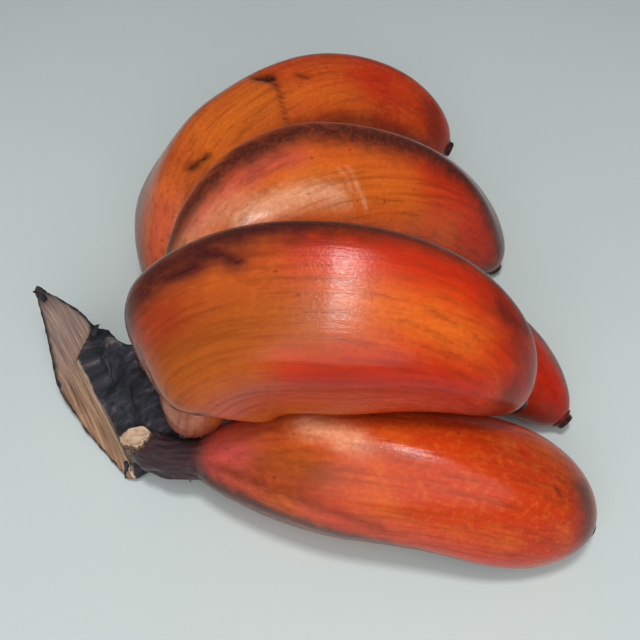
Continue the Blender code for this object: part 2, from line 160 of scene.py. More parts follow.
# Marks on the peel: tone, then the two ends of a line as share of the length and degrees from
# the outer ridge, its half width and depth in millimetres, and its strength.
PEEL_MARKS = {
    "outer_finger_back": (
        ("scar", 0.566, 78.0, 0.568, 102.0, 0.9, 0.9, 0.8),
        ("scar", 0.568, 102.0, 0.547, 114.0, 0.8, 0.8, 0.7),
        ("scar", 0.547, 114.0, 0.514, 132.0, 0.7, 0.7, 0.6),
        ("scar", 0.558, 84.0, 0.574, 90.0, 2.4, 1.2, 1.0),
        ("scar", 0.290, 97.0, 0.300, 101.0, 1.6, 0.3, 0.9),
        ("scar", 0.318, 104.0, 0.326, 106.0, 1.2, 0.3, 0.9),
        ("scar", 0.304, 102.0, 0.311, 104.0, 0.9, 0.1, 0.5),
        ("scar", 0.626, 100.0, 0.636, 104.0, 1.4, 0.2, 0.7),
        ("ochre", 0.20, 112.0, 0.50, 106.0, 10.0, 0.0, 0.35),
        ("gold", 0.10, 66.0, 0.22, 72.0, 7.0, 0.0, 0.9),
        ("gold", 0.36, 104.0, 0.52, 104.0, 9.0, 0.0, 0.55),
        ("gold", 0.60, 120.0, 0.72, 128.0, 8.0, 0.0, 0.5),
        ("rose", 0.06, 70.0, 0.20, 76.0, 7.0, 0.0, 0.6),
        ("ruby", 0.78, 112.0, 0.94, 112.0, 12.0, 0.0, 0.6),
        # painted shade along the tip, the near edge and the low edge where the middle finger shades
        # this one
        ("painted_shade", 0.94, 110.0, 0.97, 150.0, 6.0, 0.0, 0.6),
        ("painted_shade", 0.10, 5.0, 0.97, 34.0, 9.0, 0.0, 0.6),
        ("painted_shade", 0.16, 128.0, 0.52, 140.0, 3.0, 0.0, 0.6),
        ("painted_shade", 0.52, 142.0, 0.95, 168.0, 3.5, 0.0, 0.6),
    ),
    "outer_finger_middle": (
        # painted shade: a dark band along the top edge and over the far side
        ("painted_shade", 0.08, 14.0, 0.32, 8.0, 3.8, 0.0, 0.95),
        ("painted_shade", 0.32, 8.0, 0.60, 3.0, 5.0, 0.0, 1.0),
        ("painted_shade", 0.60, 2.0, 0.95, -8.0, 4.8, 0.0, 1.0),
        ("painted_shade", 0.05, -25.0, 0.97, -30.0, 8.0, 0.0, 0.9),
        ("rose", 0.20, 32.0, 0.38, 24.0, 3.5, 0.0, 0.6),
        ("ochre", 0.24, 62.0, 0.42, 52.0, 5.0, 0.0, 0.7),
        ("gold", 0.36, 48.0, 0.60, 42.0, 8.0, 0.0, 0.55),
        # painted highlights on the lower side, where the light catches the peel
        ("pale", 0.15, 40.0, 0.26, 46.0, 5.0, 0.0, 0.45),
        ("pale", 0.25, 64.0, 0.42, 60.0, 4.2, 0.0, 0.85),
        ("pale", 0.466, 36.0, 0.482, 66.0, 0.7, -0.15, 0.65),
        ("pale", 0.446, 38.0, 0.460, 60.0, 0.6, -0.12, 0.5),
        ("ruby", 0.66, 12.0, 0.92, 16.0, 9.0, 0.0, 0.7),
        # painted shade at the blossom end
        ("painted_shade", 0.96, 0.0, 0.985, 60.0, 5.0, 0.0, 0.8),
    ),
    "outer_finger_front": (
        # painted shade: a dark band along the top edge and over the back
        ("painted_shade", 0.12, 15.0, 0.36, 3.0, 5.5, 0.0, 0.9),
        ("painted_shade", 0.36, 1.0, 0.72, -7.0, 4.8, 0.0, 0.95),
        ("painted_shade", 0.72, -6.0, 0.93, 0.0, 3.5, 0.0, 0.9),
        ("painted_shade", 0.10, -25.0, 0.93, -28.0, 8.0, 0.0, 0.9),
        ("bruise", 0.275, 14.0, 0.305, 15.0, 1.6, 0.3, 1.0),
        ("bruise", 0.340, 12.0, 0.362, 19.0, 1.5, 0.3, 1.0),
        ("bruise", 0.318, 9.0, 0.330, 10.0, 1.2, 0.2, 0.9),
        ("bruise", 0.22, 6.0, 0.44, 2.0, 3.2, 0.0, 0.6),
        ("bruise", 0.780, 14.0, 0.850, 8.0, 1.6, 0.1, 0.5),
        ("haze", -0.10, 30.0, 0.01, 60.0, 7.0, 0.0, 0.7),
        ("haze", 0.02, 100.0, 0.10, 118.0, 4.0, 0.0, 0.6),
        ("haze", 0.09, 15.0, 0.10, 64.0, 5.0, 0.0, 0.85),
        ("haze", 0.10, 64.0, 0.08, 110.0, 4.0, 0.0, 0.7),
        ("bruise", 0.165, 30.0, 0.150, 50.0, 1.4, 0.3, 0.75),
        ("bruise", 0.150, 50.0, 0.152, 74.0, 1.3, 0.3, 0.75),
        ("bruise", 0.152, 74.0, 0.140, 98.0, 1.3, 0.3, 0.75),
        ("ochre", 0.20, 68.0, 0.44, 60.0, 13.0, 0.0, 0.75),
        ("scar", 0.178, 93.0, 0.190, 96.0, 1.1, 0.2, 0.8),
        ("gold", 0.62, 40.0, 0.74, 44.0, 9.0, 0.0, 0.5),
        ("ruby", 0.48, 12.0, 0.86, 12.0, 7.5, 0.0, 0.8),
        ("ruby", 0.14, 24.0, 0.24, 34.0, 7.0, 0.0, 0.4),
        # painted shade on the left and lower flanks
        ("painted_shade", 0.14, 24.0, 0.24, 36.0, 8.0, 0.0, 0.3),
        ("painted_shade", 0.50, 84.0, 0.80, 80.0, 6.0, 0.0, 0.2),
        ("ruby", 0.84, 38.0, 0.92, 50.0, 8.0, 0.0, 0.7),
        ("ruby", 0.45, 84.0, 0.80, 80.0, 7.0, 0.0, 0.85),
        ("rose", 0.12, 108.0, 0.88, 108.0, 8.0, 0.0, 0.5),
        # painted shade at the blossom end and along the top of the right end
        ("painted_shade", 0.90, 60.0, 0.96, 110.0, 6.0, 0.0, 0.7),
        ("painted_shade", 0.78, 8.0, 0.93, 34.0, 5.0, 0.0, 0.6),
    ),
    "inner_finger_back": (
        ("ruby", 0.60, 50.0, 0.94, 70.0, 14.0, 0.0, 0.8),
        # painted shade over the sides and underside of this finger, which lies under the others
        ("painted_shade", 0.10, -30.0, 0.95, -30.0, 9.0, 0.0, 0.6),
        ("painted_shade", 0.66, 2.0, 0.97, 14.0, 4.0, 0.0, 0.7),
        ("painted_shade", 0.10, 150.0, 0.95, 150.0, 12.0, 0.0, 0.6),
    ),
    "inner_finger_front": (
        ("rose", 0.12, 46.0, 0.18, 44.0, 5.0, 0.0, 1.0),
        # painted highlight near the top edge, under the front finger
        ("pale", 0.33, 8.0, 0.43, 12.0, 3.4, 0.0, 0.8),
        ("ochre", 0.19, 46.0, 0.34, 42.0, 6.0, 0.0, 0.6),
        # a thin dark line of painted shade in a shallow groove
        ("painted_shade", 0.10, 70.0, 0.50, 72.0, 1.6, 0.1, 0.5),
        ("bruise", 0.24, 54.0, 0.36, 54.0, 5.0, 0.0, 0.3),
        ("rose", 0.36, 76.0, 0.80, 78.0, 6.0, 0.0, 0.6),
        ("ruby", 0.750, -32.0, 0.756, -30.0, 1.2, 0.1, 0.9),
        ("bruise", 0.818, -16.0, 0.834, -10.0, 0.7, 0.2, 0.6),
        # painted shade at the tip, along the low edge and over the underside
        ("painted_shade", 0.90, -34.0, 0.985, 30.0, 5.5, 0.0, 0.85),
        ("painted_shade", 0.05, 108.0, 0.45, 98.0, 3.6, 0.0, 1.0),
        ("painted_shade", 0.45, 98.0, 0.93, 94.0, 3.2, 0.0, 1.0),
        ("painted_shade", 0.10, 125.0, 0.95, 120.0, 7.0, 0.0, 1.0),
    ),
}
TONES = {
    "ochre": "A05016",
    "gold": "DC6E20",
    "ruby": "BC1E06",
    "rose": "C04C44",
    # painted shade: a dark band along the fruit's edges, undersides and tips, and where one finger
    # lies in the shade of the next
    "painted_shade": "4A2018",
    # pale: light scratch lines, and painted highlights where the light catches the peel
    "pale": "E8A078",
    "bruise": "3E1418",
    "scar": "240C0A",
    "haze": "BC7C66",
}
FLECK = "D87426"  # small riper spots
RUSSET = "7A3014"  # the darkest fibres
DRY_STALK = "3E3034"
BLOSSOM = "2A1614"
FRECKLE = "5A1E12"

# Patterns of the peel: cells to a millimetre, detail and roughness
PEEL_NOISES = {
    "blotches": (0.055, 3.0, 0.55),  # ripening patches 18 mm across
    "mottle": (0.55, 2.0, 0.6),  # flecks of 1.8 mm
    "speckle": (0.9, 2.0, 0.5),  # grains of 1.1 mm
    "pebbles": (1.3, 3.0, 0.6),  # pebbles of 0.8 mm in the surface
}
STREAKS_PER_MM = (0.035, 0.55, 0.55)  # fibres 29 mm long and 1.8 mm wide
FRECKLES_PER_MM = 0.16  # a freckle every 6 mm, a millimetre across
BLOTCH_WANDER = 0.22  # how far blotches shift the colours along a finger, as a share of it
BLOSSOM_FADE = 0.6

# Crown: lofted from the low near end to the pointed far end of its cut face. Each row is
# the distance along, the cut face's low and high edges, then height and depth of the
# shoulder, of the upper back edge and of the lower back edge.
CROWN_NEAR_END = Vector((-59.4, -43.6, 5.0))
CROWN_FAR_END = Vector((-91.1, 6.3, 30.0))
CROWN_FACE_TILT = 25.0
CROWN_ROWS = (
    (-4.0, -1.4, 1.6, 6.0, 3.0, 6.0, 8.0, 0.0, 7.0),
    (0.0, -2.2, 3.4, 16.0, 4.0, 18.0, 13.0, -1.4, 12.0),
    (7.0, -6.0, 3.8, 26.0, 5.0, 28.0, 19.0, -2.6, 17.0),
    (15.0, -9.6, 4.0, 29.0, 7.0, 31.0, 22.0, -3.0, 21.0),
    (24.0, -12.4, 4.0, 27.0, 9.0, 28.0, 24.0, -2.0, 24.0),
    (31.0, -14.2, 5.0, 17.0, 9.0, 20.0, 24.0, -1.0, 21.0),
    (37.0, -15.0, 15.0, 15.0, 6.0, 13.0, 11.0, -7.0, 10.0),
    (43.0, -12.0, 21.5, 18.0, 3.0, 14.0, 7.0, -7.0, 7.0),
    (50.0, -7.8, 17.0, 15.5, 2.5, 12.0, 5.0, -4.0, 5.0),
    (58.0, -3.2, 10.4, 9.6, 2.0, 7.0, 3.8, -1.2, 3.8),
    (64.0, -1.0, 4.8, 4.4, 1.4, 3.6, 2.6, 0.2, 2.6),
    (68.0, 0.6, 2.6, 2.4, 0.7, 2.2, 1.4, 1.0, 1.4),
)
SHOULDER_BULGE = 0.5  # how far the back and the underside swell out between the edges
UNDER_BULGE = 0.6
RIM_CREASE = 0.8
RIM_INSET = 1.7  # the pale rim runs this far inside the high edge of the cut face
RIM_HALF = 0.9
RIM_FULL = 1.6
CROWN_ROUNDING = 4
LEAST_HALF_WIDTH = 0.5
FACE_NORMAL = (0.35, 0.4)  # where the rounded surface becomes cut face, and how gradually
FACE_LEVEL = (2.2, 1.4)
FACE_EDGE = 0.04
FACE_HOLLOW = 1.6  # how far the dried cut face has sunk between its rims
HOLLOW_WIDTH = 14.0  # a narrower face has sunk less
FIBRE_WIDTH = 0.9  # spacing of the fibres that show on the cut face
FIBRE_LENGTH = 14.0
FIBRE_RELIEF = 0.35
FIBRE_INSET = 0.6
FLAP_START = 38.5  # distance along the face where its wide upper flap begins
FLAP_RISE = 3.0  # length over which the flap widens
FLAP_END = FLAP_START + FLAP_RISE
NOTCH_DEPTH = 5.0  # how far the side has shrunk away from the face under the flap
NOTCH_REACH = 12.0  # how far down the side the notch runs out
NOTCH_START = 22.0
NOTCH_EDGE = 4.6  # high edge of the face that is left above the notch
NOTCH_BROW = 1.2
NOTCH_FADE_IN = 6.0
NOTCH_FADE_OUT = 1.5
NOTCH_MARGIN = 0.5

# Relief of the crown: sizes of each pattern along, down and into it
TORN_SIZES = (2.5, 2.0, 2.0)
LUMP_SIZES = (6.0, 6.0, 9.0)
WRINKLE_SIZES = (1.8, 1.8, 8.0)
SIDE_INSET = 0.7
LUMP_HEIGHT = 0.6
WRINKLE_HEIGHT = 0.45
LIP_START = 0.72  # share of the half width from which the rim stands up
LIP_WIDTH = 0.2
LIP_HEIGHT = 0.3
DARK_EDGE_START = 0.74
DARK_EDGE_WIDTH = 0.2

# Finish of the crown: cells to a millimetre, then colours from dark to light
FACE_FIBRES_PER_MM = (0.05, 0.85, 0.4)  # fibres 20 mm long and 1.2 mm wide
BARK_PER_MM = (0.30, 0.16, 0.10)  # ripples 3 to 10 mm apart
FACE_RAMP = ((0.30, "3E281A"), (0.44, "86644A"), (0.56, "AC8468"), (0.72, "CCA88A"))
SIDE_RAMP = ((0.34, "07080C"), (0.47, "181A22"), (0.60, "34303A"), (0.75, "746860"))
WEATHERED = ("4A3A3A", "B49A94")
CHARRED_TIP = "1C1A1E"
DARK_EDGE = "241A18"
PALE_RIM = "C6AC90"

# Short stump of a finger that was cut off, and loose fibres torn out along the cut. Places are
# in the hand's own frame, before it is moved over the origin.
STUB_BASE = Vector((-53.2, -41.2, 11.0))
STUB_TOP = Vector((-54.6, -41.9, 20.6))
STUB_RADIUS = 4.2
STUB_FLATNESS = 0.78  # the stump is this much thinner across than along the cut
FIBRES = (
    ((-56.9, -40.6, 10.0), (-57.8, -42.9, 5.0), (-58.2, -44.1, 0.6), 1.1),
    ((-59.2, -41.4, 6.0), (-60.0, -42.8, 3.0), (-60.3, -43.9, 0.6), 0.9),
    ((-49.2, -40.6, 14.0), (-49.8, -43.2, 8.0), (-50.2, -43.4, 3.0), 1.0),
    ((-47.4, -43.6, 13.0), (-45.8, -46.4, 9.5), (-44.6, -46.8, 6.5), 1.0),
    ((-43.6, -45.6, 13.0), (-41.0, -48.6, 10.0), (-38.6, -49.6, 8.0), 0.9),
    ((-69.4, -12.4, 32.0), (-68.6, -11.0, 33.4), (-67.6, -9.8, 34.4), 1.3),
    ((-87.6, 4.2, 29.6), (-90.0, 6.2, 31.2), (-91.0, 4.4, 33.6), 1.1),
    ((-65.8, -16.6, 26.6), (-64.3, -20.6, 25.0), (-63.4, -24.6, 21.8), 0.7),
    ((-58.0, -27.0, 25.0), (-57.0, -30.6, 23.6), (-55.6, -34.0, 20.6), 0.8),
)

# Rings of the stump: share of its height and of its radius, up the side, then over the rim
# and into the cut end
STUB_PROFILE = (
    (0.0, 1.15), (0.2, 1.08), (0.4, 1.02), (0.6, 0.98), (0.8, 0.98), (0.93, 1.02), (1.0, 0.97),
    (0.99, 0.86), (0.93, 0.7), (0.90, 0.5), (0.92, 0.3), (0.93, 0.1),
)
STUB_CUT_RING = 6
STUB_SEGMENTS = 40
STUB_ROUGH_SIZE = 1.3
STUB_ROUGH_HEIGHT = 0.5
STUB_WRINKLES_PER_MM = 1.2
STUB_WRINKLE_SHARE = 0.3  # height of a wrinkle as a share of the radius
STUB_CORNERS_PER_MM = 0.32
STUB_CORNER_SHARE = 0.35
STUB_SIDE_CUT = 0.55  # the stump's side looks this much like cut tissue
STUB_RIM = 0.75
FIBRE_SEED = 7  # without it the shake of the fibres changes from run to run
FIBRE_STEPS = 12
FIBRE_SIDES = 8
FIBRE_SHAKES_PER_MM = 0.9
FIBRE_SHAKE = 0.35  # how far a fibre strays, as a share of its radius
FIBRE_TAPER = 0.6
FIBRE_POINT = 0.08

# Stage, in metres
VIEW_CENTRE = (PLAN_SHIFT + Vector((0.0, 0.0, 25.0))) * MM
TABLE_HALF = 3.0
KEY_LIGHT = (0.13, 0.75)  # diameter, and distance from the hand
FILL_LIGHT = (1.2, 1.1)
SENSOR_WIDTH = 36.0  # millimetres
NEAREST_SEEN = 0.01


def linear(value):
    return value / 12.92 if value <= 0.04045 else ((value + 0.055) / 1.055) ** 2.4


def hex_color(code):
    """Linear colour with alpha from a sRGB hex value."""
    return (*(linear(int(code[i : i + 2], 16) / 255.0) for i in (0, 2, 4)), 1.0)


def clamp01(value):
    return min(max(value, 0.0), 1.0)


def smooth_step(value):
    value = clamp01(value)
    return value * value * (3.0 - 2.0 * value)


# Shape of a finger


def bend_share(share, finger):
    """Share of the whole bend that is taken up to this share of the length."""
    even = 1.0 - finger["ease"] - finger["droop"]
    early = finger["ease"] * smooth_step(share / 0.5)
    late = finger["droop"] * smooth_step((share - 0.5) / 0.5)
    return even * share + early + late


def body_radius(share, finger):
    """Radius at this share of the body's length, from the stalk to the blossom end."""
    swell = clamp01((share - STALK_SHARE) / (finger["neck"] - STALK_SHARE))
    grown = math.sin(math.pi / 2.0 * swell) ** finger["swell"]
    shoulder = finger.get("shoulder", STALK_RADIUS)
    radius = shoulder + (finger["radius"] - shoulder) * grown
    past = clamp01((share - (1.0 - finger["cap"])) / finger["cap"]) * CAP_END
    return radius * math.sqrt(1.0 - past ** finger["tip"])


def finger_placement(finger):
    """The frame in which a finger bends in its local XZ plane, bulging towards +Z."""
    turn = Euler((math.radians(-finger["lean"]), 0.0, math.radians(finger["heading"])))
    return Matrix.Translation(Vector(finger["start"])) @ turn.to_matrix().to_4x4()


def finger_rings(finger, root, body_steps, stalk_steps):
    """(centre, tangent, radius, share) of each ring, from inside the crown to the nub."""
    quarter = math.pi / 2.0
    shares = [
        math.sin(quarter * i / body_steps) ** RING_SPREAD for i in range(body_steps + 1)
    ]
    bend = finger["rise"] + finger["fall"]
    centre = Vector((0.0, 0.0, 0.0))
    rings = []
    last = 0.0
    for share in shares:
        slopes = []
        for at in ((share + last) / 2.0, share):
            slopes.append(math.radians(finger["rise"] - bend_share(at, finger) * bend))
        step = (share - last) * finger["length"]
        centre = centre + step * Vector((math.cos(slopes[0]), 0.0, math.sin(slopes[0])))
        tangent = Vector((math.cos(slopes[1]), 0.0, math.sin(slopes[1])))
        rings.append((centre, tangent, body_radius(share, finger), share))
        last = share
    first, forward, first_radius, _ = rings[0]
    reach = (first - root).length
    bend_point = first - forward * (STALK_TURN * reach)
    stalk = []
    for i in range(stalk_steps):
        t = i / stalk_steps
        point = (1 - t) ** 2 * root + 2 * t * (1 - t) * bend_point + t * t * first
        slope = 2 * (1 - t) * (bend_point - root) + 2 * t * (first - bend_point)
        thick = STALK_RADIUS + (first_radius - STALK_RADIUS) * t**STALK_SWELL
        stalk.append((point, slope.normalized(), thick, (t - 1.0) * reach / finger["length"]))
    tip, along, tip_radius, _ = rings[-1]
    nub = []
    for out, thick in NUB_PROFILE:
        place = tip + along * (out * NUB_LENGTH)
        nub.append((place, along, thick * NUB_RADIUS, 1.0 + out * NUB_LENGTH / finger["length"]))
    return stalk + rings + nub


def facet_radius(angle):
    """Distance to the five-sided outline at this angle, for a section of radius 1."""
    total = 0.0
    for facet in FACET_ANGLES:
        total += max(math.cos(angle - math.radians(facet)), 0.0) ** FACET_SHARPNESS
    return FACET_INSET * total ** (-1.0 / FACET_SHARPNESS)


def roundness(radius, finger):
    """0 at stalk size, where a section is round, to 1 where the facets are full."""
    return clamp01((radius - STALK_RADIUS) / (ROUND_SHARE * finger["radius"]))


def angle_gap(a, b):
    """Signed difference of two angles in degrees, the short way round."""
    return (a - b + 180.0) % 360.0 - 180.0


def mark_strength(mark, share, degrees, radius, length, ragged):
    """How strongly a mark shows at this place: 1 on its line, 0 well away from it."""
    _, share_a, degrees_a, share_b, degrees_b, width, _, _ = mark
    per_degree = math.radians(1.0) * max(radius, THIN_MARK_RADIUS)
    line = ((share_b - share_a) * length, angle_gap(degrees_b, degrees_a) * per_degree)
    here = ((share - share_a) * length, angle_gap(degrees, degrees_a) * per_degree)
    size = line[0] ** 2 + line[1] ** 2
    t = clamp01((here[0] * line[0] + here[1] * line[1]) / size) if size > SHORTEST_MARK else 0.0
    away = math.hypot(here[0] - t * line[0], here[1] - t * line[1])
    away += ragged * min(width, RAGGED_WIDTH) * RAGGED_REACH
    return math.exp(-((max(away, 0.0) / width) ** 2))


def wrinkle(flat, seed):
    """0 to 1, the lengthwise wrinkles of a drying stalk."""
    long, wide, fine_strength = FINE_WRINKLE
    fine = noise.noise(Vector((flat.x / long, flat.y / wide, flat.z / wide)) + seed)
    long, wide, coarse_strength = COARSE_WRINKLE
    coarse = noise.noise(Vector((flat.x / long, flat.y / wide, flat.z / wide)) - seed)
    return min(abs(fine) * fine_strength + max(coarse, 0.0) * coarse_strength, 1.0)


def finger_skin(finger, marks, flat, share, degrees, radius, seed):
    """How far the skin draws in at this place, and how strongly each tone shows there."""
    dents = sum(noise.noise(flat / size + seed) * height for size, height in DENTS)
    coarse = noise.noise(flat / RAGGED_COARSE - seed)
    ragged = noise.noise(flat / RAGGED_FINE + seed) + RAGGED_COARSE_SHARE * coarse
    painted = dict.fromkeys(TONES, 0.0)
    sunk = SKIN_INSET + DENT_DEPTH * dents + DENT_PUCKER * abs(dents)
    for mark in marks:
        tone, *_, depth, strength = mark
        shows = mark_strength(mark, share, degrees, radius, finger["length"], ragged)
        painted[tone] = max(painted[tone], shows * strength)
        sunk += shows * depth
    inward = min(sunk, SINK_LIMIT * radius) * clamp01(radius / FULL_RELIEF_RADIUS)
    return inward, painted


def edges_of(ring):
    """The edges of a new ring, always in the same order."""
    return list(dict.fromkeys(edge for vert in ring for edge in vert.link_edges))


def make_finger_mesh(name, finger, settings):
    """The peel of one finger as a closed mesh in the row frame, with its tones painted."""
    placement = finger_placement(finger)
    root = placement.inverted() @ Vector(finger["root"])
    rings = finger_rings(finger, root, settings.rings, settings.stalk_rings)
    bm = bmesh.new()
    straight = bm.verts.layers.float_vector.new("straight")
    tones = {tone: bm.verts.layers.float.new(tone) for tone in TONES}
    seed = Vector((13.0 * len(name), 7.0 * finger["radius"], finger["length"]))
    side = Vector((0.0, -1.0, 0.0))
    last_edges = None
    first_edges = None
    for centre, tangent, radius, share in rings:
        side = (side - tangent * side.dot(tangent)).normalized()
        outward = side.cross(tangent).normalized()
        ring = bmesh.ops.create_circle(bm, cap_ends=False, segments=settings.sides, radius=1.0)
        faceted = roundness(radius, finger) * finger["facets"]
        turn = finger["turn"] + finger["twist"] * clamp01(share)
        for vert in ring["verts"]:
            on_facet = math.atan2(vert.co.y, vert.co.x)
            degrees = math.degrees(on_facet)
            angle = on_facet + math.radians(turn)
            reach = radius * (1.0 + faceted * (facet_radius(on_facet) - 1.0))
            over, beside = reach * math.cos(angle), reach * math.sin(angle)
            flat = Vector((share * finger["length"], over, beside))
            inward, painted = finger_skin(
                finger, PEEL_MARKS[name], flat, share, degrees, radius, seed
            )
            reach -= inward
            dried = smooth_step((finger["dry"] - flat.x) / DRY_FADE)
            reach -= STALK_WRINKLE * dried * wrinkle(flat, seed)
            offset = outward * math.cos(angle) + side * math.sin(angle)
            vert.co = placement @ (centre + offset * reach)
            vert[straight] = flat
            for tone, layer in tones.items():
                vert[layer] = painted[tone]
        edges = edges_of(ring["verts"])
        if last_edges is None:
            first_edges = edges
        else:
            bmesh.ops.bridge_loops(bm, edges=last_edges + edges)
        last_edges = edges
    for edges in (first_edges, last_edges):
        bmesh.ops.edgeloop_fill(bm, edges=edges)
    lowest = min(vert.co.z for vert in bm.verts)
    lift = 0.0
    if finger["rests"]:
        lift = -REST_DEPTH - lowest
    elif lowest < HANG_HEIGHT:
        lift = HANG_HEIGHT - lowest
    bmesh.ops.translate(bm, verts=bm.verts, vec=PLAN_SHIFT + Vector((0.0, 0.0, lift)))
    for vert in bm.verts:
        vert.co.z = max(vert.co.z, 0.0)
    bmesh.ops.scale(bm, verts=bm.verts, vec=(MM, MM, MM))
    bmesh.ops.recalc_face_normals(bm, faces=bm.faces)
    return bm


def finish_piece(name, bm, material, slot, *nodes):
    """Turns the mesh into a smooth piece that rides on the hand and stands for its node."""
    mesh = bpy.data.meshes.new(name)
    bm.to_mesh(mesh)
    bm.free()
    mesh.shade_smooth()
    mesh.materials.append(material)
    piece = bpy.data.objects.new(name, mesh)
    bpy.context.scene.collection.objects.link(piece)
    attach(piece, BODY)
    if nodes:
        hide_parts(*nodes)
    return piece


# Finishes


def add_node(tree, kind, inputs=(), stops=(), out=0, **settings):
    """Adds a node with its settings, links and colour stops, and returns one of its outputs.

    Inputs come in their order or by name or number: a socket is linked, a value is set.
    """
    node = tree.nodes.new(kind)
    for name, value in settings.items():
        setattr(node, name, value)
    for key, value in inputs.items() if isinstance(inputs, dict) else enumerate(inputs):
        if isinstance(value, bpy.types.NodeSocket):
            tree.links.new(value, node.inputs[key])
        else:
            node.inputs[key].default_value = value
    if stops:
        elements = node.color_ramp.elements
        while len(elements) < len(stops):
            elements.new(0.5)
        for element, (position, code) in zip(elements, stops):
            element.position = position
            element.color = hex_color(code)
    return node.outputs[out] if node.outputs else None


def blank_material(name):
    """A material with an empty tree."""
    material = bpy.data.materials.new(name)
    material.use_nodes = True
    material.node_tree.nodes.clear()
    return material, material.node_tree


def covered(tree, color, layers, blend="MIX"):
    """The colour under layers of share and colour, the last one on top.

    A share is a number, a socket, or a socket with the values at which the layer begins and
    is full, and how strong it is there.
    """
    for share, over in layers:
        if isinstance(share, tuple):
            source, start, full, strength = share
            share = add_node(tree, "ShaderNodeMapRange", (source, start, full, 0.0, strength))
        inputs = {0: share, 6: color, 7: over}
        color = add_node(tree, "ShaderNodeMix", inputs, out=2, data_type="RGBA", blend_type=blend)
    return color


def shaded(tree, color, value):
    """The colour made lighter or darker by a value round 1."""
    grey = add_node(tree, "ShaderNodeCombineColor", (value, value, value))
    return covered(tree, color, ((1.0, grey),), "MULTIPLY")


def relief(tree, strength, *layers):
    """Bumps from layers of pattern and height, for a surface measured in millimetres."""
    heights = [add_node(tree, "ShaderNodeMath", layer, operation="MULTIPLY") for layer in layers]
    height = add_node(tree, "ShaderNodeMath", heights, operation="ADD")
    inputs = {"Height": height, "Strength": strength, "Distance": MM}
    return add_node(tree, "ShaderNodeBump", inputs)


def surface(tree, inputs):
    """The principled shader with these inputs, as what the material shows."""
    shader = add_node(tree, "ShaderNodeBsdfPrincipled", inputs)
    add_node(tree, "ShaderNodeOutputMaterial", {"Surface": shader})


def peel_material(name, finger):
    """Waxy peel of a ripe red banana, grown and not polished.

    A satin skin with a thin wax over it, streaked along its fibres, with a pebbled surface
    fine enough to break a highlight into specks.
    """
    material, tree = blank_material(name + "_peel")
    straight = add_node(tree, "ShaderNodeAttribute", out="Vector", attribute_name="straight")
    along = add_node(tree, "ShaderNodeSeparateXYZ", (straight,))
    share = add_node(tree, "ShaderNodeMath", (along, finger["length"]), operation="DIVIDE")
    noises = {}
    for pattern, (per_mm, detail, roughness) in PEEL_NOISES.items():
        inputs = {"Vector": straight, "Scale": per_mm, "Detail": detail, "Roughness": roughness}
        noises[pattern] = add_node(tree, "ShaderNodeTexNoise", inputs)
    stretched = add_node(tree, "ShaderNodeMapping", {"Vector": straight, "Scale": STREAKS_PER_MM})
    inputs = {"Vector": stretched, "Scale": 1.0, "Detail": 4.0, "Roughness": 0.6}
    streaks = add_node(tree, "ShaderNodeTexNoise", inputs)
    inputs = {"Vector": straight, "Scale": FRECKLES_PER_MM}
    freckles = add_node(tree, "ShaderNodeTexVoronoi", inputs, feature="F1")

    # The colour along the finger, with riper patches and flecks in it
    centred = add_node(tree, "ShaderNodeMath", (noises["blotches"], 0.5), operation="SUBTRACT")
    wander = add_node(tree, "ShaderNodeMath", (centred, BLOTCH_WANDER), operation="MULTIPLY")
    place = add_node(tree, "ShaderNodeMath", (share, wander), operation="ADD")
    color = add_node(tree, "ShaderNodeValToRGB", (place,), PEEL_RAMPS[name])
    layers = [
        ((noises["blotches"], 0.48, 0.68, 0.35), hex_color(TONES["gold"])),
        ((noises["mottle"], 0.48, 0.72, 0.28), hex_color(FLECK)),
    ]

    # The marks, painted shade and painted highlights among them, broken up by the speckle
    specks = add_node(tree, "ShaderNodeMath", (noises["speckle"], 0.7), operation="MULTIPLY")
    speckled = add_node(tree, "ShaderNodeMath", (specks, 0.65), operation="ADD")
    for tone, code in TONES.items():
        painted = add_node(tree, "ShaderNodeAttribute", out="Fac", attribute_name=tone)
        mark_share = add_node(
            tree, "ShaderNodeMath", (painted, speckled), operation="MULTIPLY", use_clamp=True
        )
        layers.append((mark_share, hex_color(code)))
    color = covered(tree, color, layers)

    # Light and dark fibres and grains
    streaked = add_node(tree, "ShaderNodeMapRange", (streaks, 0.3, 0.7, 0.84, 1.12))
    grained = add_node(tree, "ShaderNodeMapRange", (noises["speckle"], 0.3, 0.7, 0.93, 1.06))
    value = add_node(tree, "ShaderNodeMath", (streaked, grained), operation="MULTIPLY")
    color = shaded(tree, color, value)

    # Brown fibres, the two dry ends and the freckles
    dry, length = finger["dry"], finger["length"]
    color = covered(tree, color, (
        ((streaks, 0.46, 0.34, 0.26), hex_color(RUSSET)),
        ((along, dry + 2.0, dry - DRY_FADE, 0.95), hex_color(DRY_STALK)),
        ((along, length - BLOSSOM_FADE, length + BLOSSOM_FADE, 0.95), hex_color(BLOSSOM)),
        ((freckles, 0.10, 0.05, 0.45), hex_color(FRECKLE)),
    ))
    surface(tree, {
        "Base Color": color,
        "Roughness": add_node(
            tree, "ShaderNodeMapRange", (noises["speckle"], 0.3, 0.7, 0.18, 0.27)
        ),
        "IOR": 1.45,
        "Specular IOR Level": 0.2,
        "Coat Weight": 0.05,
        "Coat Roughness": 0.25,
        "Normal": relief(tree, 0.5, (noises["pebbles"], 0.10), (streaks, 0.25)),
    })
    return material


